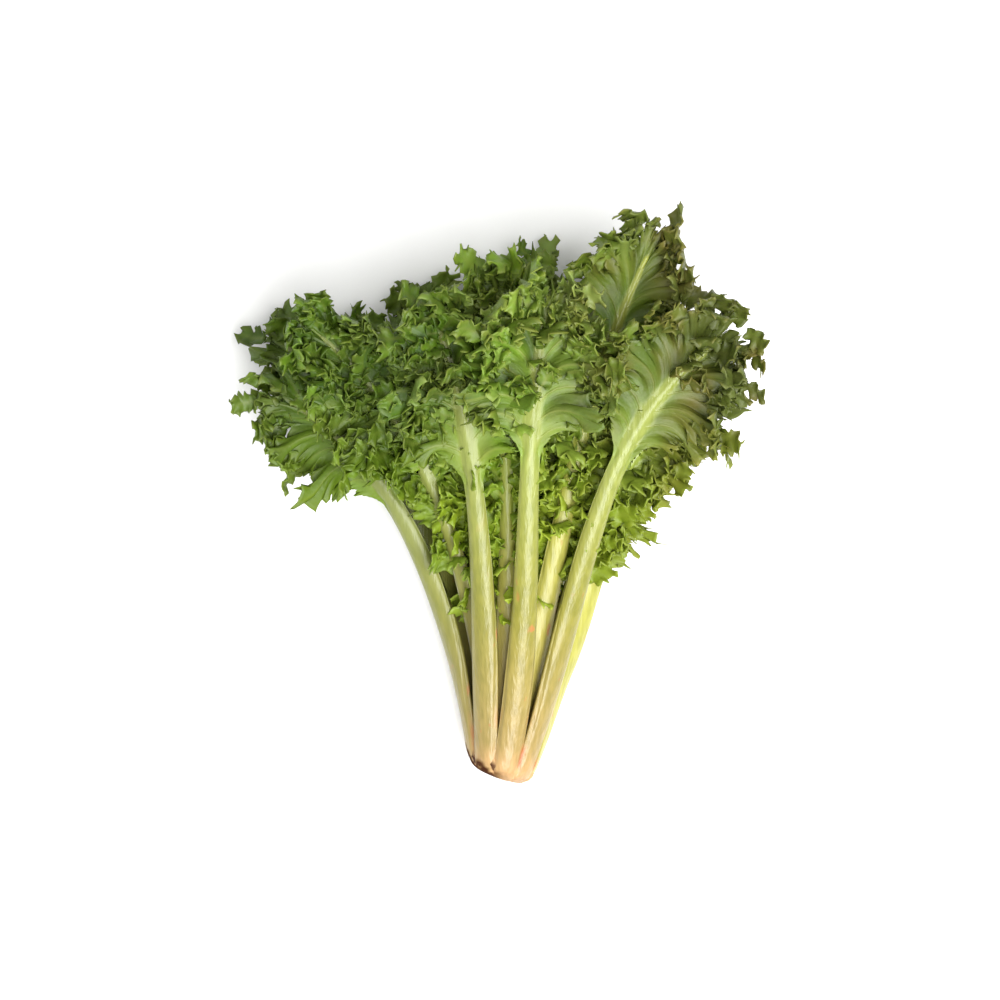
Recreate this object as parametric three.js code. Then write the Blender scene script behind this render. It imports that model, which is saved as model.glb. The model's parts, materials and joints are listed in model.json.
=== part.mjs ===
// A head of curly endive, cut at the butt and lying on its side on a table.
// Millimetres, +Z up. The head points along +Y from its cut butt, and its leaves fan out to
// both sides in X. Each leaf is one solid, a fleshy stalk that thins into a ruffled, lobed
// blade, and they all spring from one short core.
import * as THREE from "three";
import { mergeVertices } from "three/addons/utils/BufferGeometryUtils.js";

// The butt and the core that the leaves grow from: the slant of its cut, the height of its axis
// above the table, how far the axis leans to +X as it rises, and [radius, rise] of the core.
const BUTT_Y = -141;
const BUTT_SLANT = -0.35;
const AXIS_HEIGHT = 18.4;
const AXIS_LEAN = 0.14;
const CORE_PROFILE = [
  [0, 0],
  [10.4, 0],
  [11.6, 1.2],
  [11.4, 7],
  [7.2, 11.5],
  [6.2, 18],
  [3.2, 21.5],
  [1.6, 26.5],
  [0, 27],
];
const CORE_SIDES = 20;

// The whorls, from the outside in: where a leaf's foot stands on the core, how far it leans
// out, the half width and thickness of its stalk, its lobes on each side, and how high its
// margin waves.
const WHORLS = {
  outer: { rise: 0, radius: 14.6, lean: 15, halfWidth: 5.2, thickness: 4.6, lobes: 7, wave: 9 },
  middle: { rise: 12, radius: 10, lean: 12, halfWidth: 4, thickness: 4, lobes: 7, wave: 8 },
  inner: { rise: 22, radius: 6, lean: 9, halfWidth: 2.8, thickness: 3.2, lobes: 7, wave: 7 },
  heart: { rise: 27.5, radius: 3.4, lean: 5, halfWidth: 1.6, thickness: 1.6, lobes: 6, wave: 4 },
};

// How stout a stalk is along its length, as shares of its whorl's half width and thickness,
// and how much of the thickness lies on its outer face.
const STALK_SWELL = 1.22;
const STALK_WAIST = 0.92;
const RIB_TIP = 0.28;
const OUTER_SHARE = 0.66;
const STALK_EDGE = 0.32;
const STALK_ROWS = 5;

// The blade: its thickness, the angle of its first veins to the rib at the margin, the share of
// that angle at which they leave the rib, how much shorter the bays are than the lobes, how
// uneven the lobes are, how far each lobe stands out of the sheet and each bay sinks into it,
// and how far the margin bends outward. Then the columns of corners from rib to margin, and the
// steps in which the way out of the sheet is found at each corner.
const BLADE_THICKNESS = 1;
const VEIN_ANGLE = 94;
const VEIN_START = 0.5;
const BAY_DEPTH = 0.34;
const LOBE_SPREAD = 6;
const RUFFLE = 4;
const REFLEX = 6;
const HALF_COLUMNS = 4;
const TURNING_STEPS = 8;

// Leaves that lie over one another are bent clear: how freely each column of a blade gives way,
// from the rib to the margin, the height left between two sheets, and the rounds it takes.
const GIVE = [0, 0.05, 0.5, 1];
const CLEARANCE = 2.6;
const SETTLE_ROUNDS = 150;

// The head lies on a table, so the stalks under it run level instead of leaning out: how much
// higher than its foot a stalk runs for each millimetre that it grows above the butt.
const LEVEL_RISE = 0.15;

const FORWARD = new THREE.Vector3(0, 1, 0);

// Each leaf, named by its whorl: the angle round the core where it grows (0 is +X and 90 faces
// up), the end of its rib, the way it points there (heading from +Y towards +X, and pitch above
// level), the half width of its blade, and the share of its rib that is bare stalk.
const LEAVES = {
  outer_leaf_1: { around: 79, tip: [22, 88, 100], heading: 10, pitch: 8, reach: 42, bare: 0.7 },
  outer_leaf_2: { around: 36, tip: [106, 76, 82], heading: 54, pitch: 0, reach: 40, bare: 0.68 },
  outer_leaf_3: { around: 123, tip: [-30, 84, 84], heading: -18, pitch: 4, reach: 38, bare: 0.64 },
  outer_leaf_4: { around: 168, tip: [-107, 50, 46], heading: -60, pitch: 0, reach: 34, bare: 0.64 },
  outer_leaf_5: { around: -8, tip: [76, 16, 27], heading: 34, pitch: 0, reach: 26, bare: 0.6 },
  outer_leaf_6: { around: 214, tip: [-112, 80, 24], heading: -54, pitch: 0, reach: 35, bare: 0.58 },
  outer_leaf_7: { around: 258, tip: [-38, 98, 6], heading: -20, pitch: 0, reach: 37, bare: 0.58 },
  outer_leaf_8: { around: 302, tip: [67, 107, 8], heading: 29, pitch: 0, reach: 36, bare: 0.6 },
  middle_leaf_1: { around: 60, tip: [75, 124, 73], heading: 26, pitch: 6, reach: 36, bare: 0.62 },
  middle_leaf_2: { around: 104, tip: [-2, 106, 74], heading: -4, pitch: 4, reach: 34, bare: 0.5 },
  middle_leaf_3: { around: 154, tip: [-92, 84, 66], heading: -50, pitch: 4, reach: 36, bare: 0.52 },
  middle_leaf_4: { around: 212, tip: [-72, 82, 20], heading: -34, pitch: 0, reach: 32, bare: 0.54 },
  middle_leaf_5: { around: 262, tip: [16, 116, 20], heading: 6, pitch: 0, reach: 34, bare: 0.54 },
  middle_leaf_6: { around: 312, tip: [74, 84, 22], heading: 36, pitch: 0, reach: 32, bare: 0.56 },
  middle_leaf_7: { around: 14, tip: [104, 52, 53], heading: 60, pitch: 0, reach: 33, bare: 0.54 },
  inner_leaf_1: { around: 66, tip: [23, 84, 52], heading: 9, pitch: 0, reach: 30, bare: 0.38 },
  inner_leaf_2: { around: 134, tip: [-42, 80, 56], heading: -26, pitch: 0, reach: 30, bare: 0.36 },
  inner_leaf_3: { around: 206, tip: [-56, 80, 38], heading: -30, pitch: 0, reach: 30, bare: 0.46 },
  inner_leaf_4: { around: 278, tip: [8, 100, 33], heading: 2, pitch: 0, reach: 30, bare: 0.46 },
  inner_leaf_5: { around: 350, tip: [56, 84, 38], heading: 30, pitch: 0, reach: 30, bare: 0.42 },
  heart_leaf_1: { around: 90, tip: [2, 42, 48], heading: 0, pitch: 4, reach: 18, bare: 0.34 },
  heart_leaf_2: { around: 210, tip: [-9, 50, 40], heading: -8, pitch: 0, reach: 18, bare: 0.4 },
  heart_leaf_3: { around: 330, tip: [14, 46, 38], heading: 10, pitch: 0, reach: 18, bare: 0.4 },
};

const radians = THREE.MathUtils.degToRad;
const smooth = THREE.MathUtils.smoothstep;
const mix = THREE.MathUtils.lerp;

// A repeatable draw from 0 to 1 for the k-th feature of a leaf.
function chance(seed, k) {
  const x = Math.sin(seed * 127.1 + k * 311.7) * 43758.5453;
  return x - Math.floor(x);
}

// The centre line of a leaf, from its foot on the core to the end of its rib.
function ribCurve(leaf) {
  const whorl = leaf.whorl;
  const around = radians(leaf.around);
  const out = new THREE.Vector3(Math.cos(around), 0, Math.sin(around));
  const foot = out.clone().multiplyScalar(whorl.radius);
  foot.y = BUTT_Y + whorl.rise + BUTT_SLANT * foot.x;
  foot.x += AXIS_LEAN * whorl.rise;
  foot.z += AXIS_HEIGHT;
  const tip = new THREE.Vector3(...leaf.tip);
  const span = foot.distanceTo(tip);
  const lean = radians(whorl.lean);
  const leaves = FORWARD.clone().multiplyScalar(Math.cos(lean)).addScaledVector(out, Math.sin(lean));
  leaves.x += AXIS_LEAN;
  const heading = radians(leaf.heading);
  const pitch = radians(leaf.pitch);
  const arrives = new THREE.Vector3(
    Math.sin(heading) * Math.cos(pitch),
    Math.cos(heading) * Math.cos(pitch),
    Math.sin(pitch),
  );
  const near = foot.clone().addScaledVector(leaves, span * 0.38);
  const far = tip.clone().addScaledVector(arrives, -span * 0.32);
  near.z = Math.max(near.z, foot.z + LEVEL_RISE * whorl.rise);
  return new THREE.CubicBezierCurve3(foot, near, far, tip);
}

// The way a leaf's outer face looks at u, as an angle round the head: at the foot it looks
// straight out from the core, and along the blade it turns up to the light or down to the table.
function facing(leaf, u) {
  const flat = leaf.around > 180 ? 270 : 90;
  const blade = mix(flat, leaf.around, 0.28);
  return radians(mix(leaf.around, blade, smooth(u, 0.05, 0.55)));
}

// The place, the forward direction, the outward face and the side direction at u along a leaf.
function stationAt(leaf, curve, u) {
  const place = curve.getPoint(u);
  const forward = curve.getTangent(u);
  const turn = facing(leaf, u);
  const outward = new THREE.Vector3(Math.cos(turn), 0, Math.sin(turn));
  outward.addScaledVector(forward, -outward.dot(forward)).normalize();
  const side = forward.clone().cross(outward);
  return { place, forward, outward, side };
}

// The half width of the stalk and rib at u.
function ribHalfWidth(leaf, u) {
  const full = leaf.whorl.halfWidth;
  const swollen = mix(1, STALK_SWELL, smooth(u, 0, 0.25));
  const stalk = full * mix(swollen, STALK_WAIST, smooth(u, 0.3, leaf.bare));
  return stalk * mix(1, RIB_TIP, smooth(u, leaf.bare * 0.9, 1));
}

// The thickness of the stalk and rib at u.
function ribThickness(leaf, u) {
  const full = leaf.whorl.thickness;
  const swollen = mix(1, STALK_SWELL, smooth(u, 0, 0.2));
  return full * mix(swollen, RIB_TIP, smooth(u, leaf.bare * 0.6, 1));
}

// How far along its blade u is, from 0 at the end of the bare stalk to 1 at the rib's end.
function bladeShare(leaf, u) {
  return Math.max(0, (u - leaf.bare) / (1 - leaf.bare));
}

// How far a lobe reaches past the rib at u.
function bladeReach(leaf, u) {
  const b = bladeShare(leaf, u);
  return leaf.reach * mix(0.1, 1, smooth(b, -0.1, 0.45)) * (1 - 0.3 * b * b);
}

// A point of the leaf's middle sheet on one side (1 or -1), at the distance across from the
// rib's centre: it follows the stalk's rounded section and then a vein out into the blade.
function sheetPoint(leaf, curve, u, side, across, rise) {
  const at = stationAt(leaf, curve, u);
  const rib = ribHalfWidth(leaf, u);
  const b = bladeShare(leaf, u);
  const hug = mix(1 / leaf.whorl.radius, 0.02, smooth(u, 0, leaf.bare * 0.9));
  const within = Math.min(across, rib);
  const point = at.place.clone();
  point.addScaledVector(at.side, (side * Math.sin(hug * within)) / hug);
  point.addScaledVector(at.outward, -(1 - Math.cos(hug * within)) / hug);
  const beyond = Math.max(0, across - rib);
  const t = beyond / leaf.reach;
  const vein = radians(VEIN_ANGLE) * (1 - b * b) * mix(VEIN_START, 1, smooth(t, 0, 0.8));
  point.addScaledVector(at.forward, beyond * Math.cos(vein));
  point.addScaledVector(at.side, side * beyond * Math.sin(vein));
  point.addScaledVector(at.outward, Math.pow(t, 1.3) * rise + REFLEX * t * t * smooth(b, 0, 0.3));
  return point;
}

// The way out of the sheet at each corner. It starts as the mean of the triangles round the
// corner and is turned step by step towards the one that faces away most, so that the two
// faces of a sharply folded blade stay apart.
function waysOut(points, triangles) {
  const around = points.map(() => []);
  for (const corners of triangles) {
    const facing = new THREE.Triangle(...corners.map((i) => points[i])).getNormal(new THREE.Vector3());
    for (const i of corners) around[i].push(facing);
  }
  return around.map((facings) => {
    const way = new THREE.Vector3();
    for (const facing of facings) way.add(facing);
    way.normalize();
    for (let k = 0; k < TURNING_STEPS; k++) {
      facings.sort((a, b) => a.dot(way) - b.dot(way));
      if (facings[0].dot(way) < 0.2) way.addScaledVector(facings[0], 0.1).normalize();
    }
    return way;
  });
}

// A closed solid from a sheet of triangles: each corner is moved out and in along its way out,
// and the rim is closed between them. Whatever would sink into the table is pressed flat.
function thicken({ points, triangles, outerDepth, innerDepth }) {
  const ways = waysOut(points, triangles);
  const outer = [];
  const inner = [];
  points.forEach((point, i) => {
    const normal = ways[i];
    const outside = point.clone().addScaledVector(normal, outerDepth[i]);
    const inside = point.clone().addScaledVector(normal, -innerDepth[i]);
    const low = outside.z < inside.z ? outside : inside;
    const high = outside.z < inside.z ? inside : outside;
    low.z = Math.max(low.z, 0);
    high.z = Math.max(high.z, low.z + BLADE_THICKNESS * 0.8);
    outer.push(outside);
    inner.push(inside);
  });
  const count = points.length;
  const faces = [];
  const rim = new Map();
  for (const [a, b, c] of triangles) {
    faces.push(a, b, c, c + count, b + count, a + count);
    for (const [from, to] of [[a, b], [b, c], [c, a]]) {
      if (!rim.delete(`${to}_${from}`)) rim.set(`${from}_${to}`, [from, to]);
    }
  }
  for (const [from, to] of rim.values()) {
    faces.push(to, from, from + count, to, from + count, to + count);
  }
  const solid = new THREE.BufferGeometry();
  const all = [...outer, ...inner].flatMap((p) => [p.x, p.y, p.z]);
  solid.setAttribute("position", new THREE.Float32BufferAttribute(all, 3));
  solid.setIndex(faces);
  return solid;
}

// The middle sheet of one leaf. Rows cross the leaf from the foot to the tip, and each half row
// runs from the rib's centre to the margin. Along each margin every other row is a lobe, the
// lobes stand opposite the bays of the other side, and they wave out and in by turns. Each
// corner keeps the depth of tissue on its outer and inner face, and how freely it gives way.
function leafSheet(leaf, seed) {
  const curve = ribCurve(leaf);
  const whorl = leaf.whorl;
  const bladeRows = whorl.lobes * 2;
  const last = STALK_ROWS + bladeRows;
  const points = [];
  const outerDepth = [];
  const innerDepth = [];
  const give = [];
  const grid = new Map();
  const key = (j, side, c) => `${j}_${c === 0 || j === last ? 0 : side}_${c}`;
  for (let j = 0; j <= last; j++) {
    const bladeRow = j - STALK_ROWS;
    const stalk = (leaf.bare * j) / STALK_ROWS;
    const u = bladeRow < 0 ? stalk : mix(leaf.bare, 1, bladeRow / bladeRows);
    const rib = ribHalfWidth(leaf, u);
    const thickness = ribThickness(leaf, u);
    const inBlade = smooth(u, leaf.bare * 0.98, leaf.bare + 0.06);
    for (const side of [-1, 1]) {
      const turn = bladeRow + (side > 0 ? 0 : 1);
      const lobe = turn % 2 === 0 || j === last;
      const sway = Math.cos((Math.PI / 2) * (turn + 2 * Math.round(chance(seed, side))));
      const spread = LOBE_SPREAD * (chance(seed, 2 * j + side) - 0.5);
      const reach = bladeReach(leaf, u) * (lobe ? 1 : 1 - BAY_DEPTH) + inBlade * spread;
      const rise = (whorl.wave * sway + (lobe ? RUFFLE : -RUFFLE)) * inBlade;
      const slim = [0, 0.45 * rib, 0.8 * rib, rib];
      const broad = [0, rib, rib + 0.5 * reach, rib + reach];
      for (let c = 0; c < HALF_COLUMNS; c++) {
        if (grid.has(key(j, side, c))) continue;
        const across = mix(slim[c], broad[c], inBlade);
        const roundness = Math.sqrt(Math.max(0, 1 - (across / rib) ** 2));
        const edge = mix(thickness * STALK_EDGE, BLADE_THICKNESS, inBlade);
        const depth = Math.max(edge, BLADE_THICKNESS, thickness * roundness);
        const share = depth > BLADE_THICKNESS ? OUTER_SHARE : 0.5;
        grid.set(key(j, side, c), points.length);
        points.push(sheetPoint(leaf, curve, u, side, across, rise));
        outerDepth.push(depth * share);
        innerDepth.push(depth * (1 - share));
        give.push(inBlade * GIVE[c]);
      }
    }
  }
  const triangles = [];
  for (let j = 0; j < last; j++) {
    for (const side of [-1, 1]) {
      for (let c = 0; c < HALF_COLUMNS - 1; c++) {
        const here = grid.get(key(j, side, c));
        const out = grid.get(key(j, side, c + 1));
        const ahead = grid.get(key(j + 1, side, c));
        const across = grid.get(key(j + 1, side, c + 1));
        const short = points[here].distanceTo(points[across]) < points[out].distanceTo(points[ahead]);
        const halves = short
          ? [[here, out, across], [here, across, ahead]]
          : [[here, out, ahead], [out, across, ahead]];
        triangles.push(...(side === 1 ? halves : halves.map((corners) => corners.reverse())));
      }
    }
  }
  const edges = new Map();
  for (const [a, b, c] of triangles) {
    for (const pair of [[a, b], [b, c], [c, a]]) edges.set([...pair].sort().join(), pair);
  }
  return { points, triangles, edges: [...edges.values()], outerDepth, innerDepth, give };
}

const cross = (ax, ay, bx, by) => ax * by - ay * bx;

// The shares of three corners at a point in plan, or nothing where it lies outside them.
function sharesAt(point, [a, b, c]) {
  const area = cross(b.x - a.x, b.y - a.y, c.x - a.x, c.y - a.y);
  const inB = cross(point.x - a.x, point.y - a.y, c.x - a.x, c.y - a.y) / area;
  const inC = cross(b.x - a.x, b.y - a.y, point.x - a.x, point.y - a.y) / area;
  const inA = 1 - inB - inC;
  return Math.min(inA, inB, inC) >= 0 ? [inA, inB, inC] : null;
}

// The shares along edge ab and along edge cd where they cross in plan, or nothing.
function sharesAcross(a, b, c, d) {
  const area = cross(b.x - a.x, b.y - a.y, d.x - c.x, d.y - c.y);
  const onAB = cross(c.x - a.x, c.y - a.y, d.x - c.x, d.y - c.y) / area;
  const onCD = cross(c.x - a.x, c.y - a.y, b.x - a.x, b.y - a.y) / area;
  return Math.min(onAB, onCD, 1 - onAB, 1 - onCD) >= 0 ? [onAB, onCD] : null;
}

// The corners and edges of one sheet that lie over another in plan, as a list of meetings, each
// with the corners of the first sheet and of the second that share in it.
function meetings(first, second) {
  const found = [];
  const cornersOver = (sheet, other, swap) => {
    sheet.points.forEach((point, k) => {
      for (const corners of other.triangles) {
        const shares = sharesAt(point, corners.map((i) => other.points[i]));
        if (!shares) continue;
        const own = [[k, 1]];
        const others = corners.map((i, n) => [i, shares[n]]);
        found.push(swap ? [others, own] : [own, others]);
      }
    });
  };
  cornersOver(first, second, false);
  cornersOver(second, first, true);
  for (const [a, b] of first.edges) {
    for (const [c, d] of second.edges) {
      const ends = [first.points[a], first.points[b], second.points[c], second.points[d]];
      const shares = sharesAcross(...ends);
      if (!shares) continue;
      const [s, t] = shares;
      found.push([[[a, 1 - s], [b, s]], [[c, 1 - t], [d, t]]]);
    }
  }
  return found;
}

// The height of a sheet where its corners share in a meeting.
function heightAt(sheet, corners) {
  return corners.reduce((sum, [k, share]) => sum + share * sheet.points[k].z, 0);
}

// Bends the blades clear of each other. Of two leaves that meet, the one that lies higher on
// the whole is the upper: wherever it comes too close it is lifted and the other is pressed down.
function settle(sheets) {
  const contacts = [];
  sheets.forEach((first, i) => {
    for (const second of sheets.slice(i + 1)) {
      const found = meetings(first, second);
      const gap = found.reduce((sum, [a, b]) => sum + heightAt(first, a) - heightAt(second, b), 0);
      for (const [a, b] of found) {
        if (gap > 0) contacts.push({ upper: first, lower: second, over: a, under: b });
        else contacts.push({ upper: second, lower: first, over: b, under: a });
      }
    }
  });
  for (let round = 0; round < SETTLE_ROUNDS; round++) {
    for (const { upper, lower, over, under } of contacts) {
      const short = CLEARANCE - heightAt(upper, over) + heightAt(lower, under);
      if (short <= 0) continue;
      const give = (sheet, corners) => corners.reduce((sum, [k, w]) => sum + w * w * sheet.give[k], 0);
      const total = give(upper, over) + give(lower, under);
      if (total < 0.001) continue;
      for (const [k, share] of over) {
        upper.points[k].z += (short * share * upper.give[k]) / total;
      }
      for (const [k, share] of under) {
        const z = lower.points[k].z - (short * share * lower.give[k]) / total;
        lower.points[k].z = Math.max(z, BLADE_THICKNESS / 2);
      }
    }
  }
}

// The core, a short cone of solid tissue with a slanting cut at the butt.
function coreGeometry() {
  const profile = CORE_PROFILE.map(([radius, rise]) => new THREE.Vector2(radius, rise));
  const core = new THREE.LatheGeometry(profile, CORE_SIDES);
  core.deleteAttribute("normal");
  core.deleteAttribute("uv");
  core.applyMatrix4(new THREE.Matrix4().makeShear(BUTT_SLANT, 0, AXIS_LEAN, 0, 0, 0));
  core.translate(0, BUTT_Y, AXIS_HEIGHT);
  return mergeVertices(core);
}

const LEAF_COLOURS = { outer: 0x6f9a35, middle: 0x5c8a2c, inner: 0x86ad45, heart: 0xb5c96a };

const endive = new THREE.Group();

const core = new THREE.Mesh(
  coreGeometry(),
  new THREE.MeshStandardMaterial({ color: 0xe9dcae, roughness: 0.55, metalness: 0 }),
);
core.name = "core";
endive.add(core);

const whorlOf = (name) => name.split("_")[0];
const sheets = Object.entries(LEAVES).map(([name, row], i) => {
  return leafSheet({ ...row, whorl: WHORLS[whorlOf(name)] }, i + 1);
});
settle(sheets);

Object.keys(LEAVES).forEach((name, i) => {
  const material = new THREE.MeshStandardMaterial({
    color: LEAF_COLOURS[whorlOf(name)],
    roughness: 0.5,
    metalness: 0,
  });
  const mesh = new THREE.Mesh(thicken(sheets[i]), material);
  mesh.name = name;
  endive.add(mesh);
});

// The origin lies at the middle of the foot of the head's box, on the table.
const box = new THREE.Box3().setFromObject(endive);
const middle = box.getCenter(new THREE.Vector3());
for (const mesh of endive.children) mesh.geometry.translate(-middle.x, -middle.y, -box.min.z);

export default endive;
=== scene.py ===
# %% [markdown]
# # A head of curly endive
# A cut head lies on its side on a pale table and the camera looks straight down on it, so it
# shows as the photo shows it. The solids of the part give each leaf its place and its folds.
# The cells below grow a finer leaf over each of them, with folded and toothed margins, veins and
# the change of colour from the cream stalk to the green blade, and set small curled leaflets
# along the stalks and over the blades.

# %% Loading the solids
import json
import math

import bpy
import numpy as np
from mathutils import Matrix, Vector

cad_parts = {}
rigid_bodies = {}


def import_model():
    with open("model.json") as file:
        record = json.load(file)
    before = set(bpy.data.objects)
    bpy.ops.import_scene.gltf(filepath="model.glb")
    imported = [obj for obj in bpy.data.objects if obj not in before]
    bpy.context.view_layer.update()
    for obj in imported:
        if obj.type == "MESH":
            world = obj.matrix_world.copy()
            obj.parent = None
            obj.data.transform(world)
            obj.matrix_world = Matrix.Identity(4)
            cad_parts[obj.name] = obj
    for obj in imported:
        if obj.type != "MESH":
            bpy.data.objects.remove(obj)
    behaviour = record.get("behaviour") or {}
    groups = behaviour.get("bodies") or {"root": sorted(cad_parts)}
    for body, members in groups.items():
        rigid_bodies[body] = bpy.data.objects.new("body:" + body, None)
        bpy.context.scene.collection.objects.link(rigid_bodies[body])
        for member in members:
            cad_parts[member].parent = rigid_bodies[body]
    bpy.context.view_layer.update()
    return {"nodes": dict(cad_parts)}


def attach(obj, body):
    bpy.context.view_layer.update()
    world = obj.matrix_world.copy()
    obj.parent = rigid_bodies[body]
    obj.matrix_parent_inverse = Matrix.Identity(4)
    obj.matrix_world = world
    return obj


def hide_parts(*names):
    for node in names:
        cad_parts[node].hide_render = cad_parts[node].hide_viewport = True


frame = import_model()

# %% [markdown]
# ## Where the plant stands
# The leaves are worked out in millimetres round the head's own axis. The axis runs through the
# middle of the core, 18.4 mm above the table, and the core's top is 114 mm below the middle of
# the picture, so the top of the core's solid says where that frame lies on the table.

# %% The plant's own frame
AXIS_HEIGHT = 18.4
CORE_TOP = (3.78, -114.0, 18.4)
core = np.array([v.co for v in frame["nodes"]["core"].data.vertices])
core_top = core[core[:, 1].argmax()]
PLANT = Vector((core_top[0], core_top[1], core_top[2])) - Vector(CORE_TOP) / 1000
print("the plant's frame is at", [round(x, 4) for x in PLANT])

# %% [markdown]
# ## Camera
# The photo is taken from in front of a head that hangs or stands upright. This head lies down,
# so the camera looks down on it from well above. At the height of the blades, 512 mm fill the
# picture from side to side.

# %% Camera
CAMERA_HEIGHT = 1.6
PICTURE_WIDTH = 0.512
FOLIAGE_HEIGHT = 0.07
camera = bpy.data.objects.new("camera", bpy.data.cameras.new("camera"))
bpy.context.scene.collection.objects.link(camera)
camera.location = (PLANT.x, PLANT.y, CAMERA_HEIGHT)
camera.data.lens = camera.data.sensor_width * (CAMERA_HEIGHT - FOLIAGE_HEIGHT) / PICTURE_WIDTH
camera.data.clip_start = 0.01
bpy.context.scene.camera = camera
print("lens", round(camera.data.lens, 1), "mm")

# %% [markdown]
# ## The leaves in numbers
# Endive leaves stand in whorls round a short core. The outer ones have the broadest stalks and
# the longest bare part. Each row gives the angle round the core, the end of the rib, the way
# the rib points there, the half width of the blade and the bare share of the rib.

# %% Leaf table
WHORLS = {
    "outer": dict(rise=0, radius=14.6, lean=15, half_width=5.2, thickness=4.6, lobes=7, wave=9),
    "middle": dict(rise=12, radius=10, lean=12, half_width=4, thickness=4, lobes=7, wave=8),
    "inner": dict(rise=22, radius=6, lean=9, half_width=2.8, thickness=3.2, lobes=7, wave=7),
    "heart": dict(rise=27.5, radius=3.4, lean=5, half_width=1.6, thickness=1.6, lobes=6, wave=4),
}
LEAVES = {
    "outer_leaf_1": (79, (22, 88, 100), 10, 8, 42, 0.7),
    "outer_leaf_2": (36, (106, 76, 82), 54, 0, 40, 0.68),
    "outer_leaf_3": (123, (-30, 84, 84), -18, 4, 38, 0.64),
    "outer_leaf_4": (168, (-107, 50, 46), -60, 0, 34, 0.64),
    "outer_leaf_5": (-8, (76, 16, 27), 34, 0, 26, 0.6),
    "outer_leaf_6": (214, (-112, 80, 24), -54, 0, 35, 0.58),
    "outer_leaf_7": (258, (-38, 98, 6), -20, 0, 37, 0.58),
    "outer_leaf_8": (302, (67, 107, 8), 29, 0, 36, 0.6),
    "middle_leaf_1": (60, (75, 124, 73), 26, 6, 36, 0.62),
    "middle_leaf_2": (104, (-2, 106, 74), -4, 4, 34, 0.5),
    "middle_leaf_3": (154, (-92, 84, 66), -50, 4, 36, 0.52),
    "middle_leaf_4": (212, (-72, 82, 20), -34, 0, 32, 0.54),
    "middle_leaf_5": (262, (16, 116, 20), 6, 0, 34, 0.54),
    "middle_leaf_6": (312, (74, 84, 22), 36, 0, 32, 0.56),
    "middle_leaf_7": (14, (104, 52, 53), 60, 0, 33, 0.54),
    "inner_leaf_1": (66, (23, 84, 52), 9, 0, 30, 0.38),
    "inner_leaf_2": (134, (-42, 80, 56), -26, 0, 30, 0.36),
    "inner_leaf_3": (206, (-56, 80, 38), -30, 0, 30, 0.46),
    "inner_leaf_4": (278, (8, 100, 33), 2, 0, 30, 0.46),
    "inner_leaf_5": (350, (56, 84, 38), 30, 0, 30, 0.42),
    "heart_leaf_1": (90, (2, 42, 48), 0, 4, 18, 0.34),
    "heart_leaf_2": (210, (-9, 50, 40), -8, 0, 18, 0.4),
    "heart_leaf_3": (330, (14, 46, 38), 10, 0, 18, 0.4),
}
BUTT = -141
BUTT_SLANT = -0.35
AXIS_LEAN = 0.14
LEVEL_RISE = 0.15
STALK_SWELL, STALK_WAIST, RIB_TIP = 1.22, 0.92, 0.28
OUTER_SHARE, STALK_EDGE = 0.66, 0.32
VEIN_ANGLE, VEIN_START, BAY_DEPTH, RUFFLE, REFLEX = 94, 0.5, 0.34, 4, 6
print(len(LEAVES), "leaves")

# %% [markdown]
# ## The rib of a leaf
# A stalk leaves the core leaning outward and then bends over to its side of the head. Its outer
# face looks away from the core at the foot and turns up to the light, or down to the table,
# along the blade.

# %% Rib and stations
def smooth(x, low, high):
    t = np.clip((x - low) / (high - low), 0, 1)
    return t * t * (3 - 2 * t)


def mix(a, b, t):
    return a + (b - a) * t


def chance(seed, k):
    x = math.sin(seed * 127.1 + k * 311.7) * 43758.5453
    return x - math.floor(x)


def unit(v):
    return v / np.maximum(np.linalg.norm(v, axis=-1, keepdims=True), 1e-9)


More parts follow.
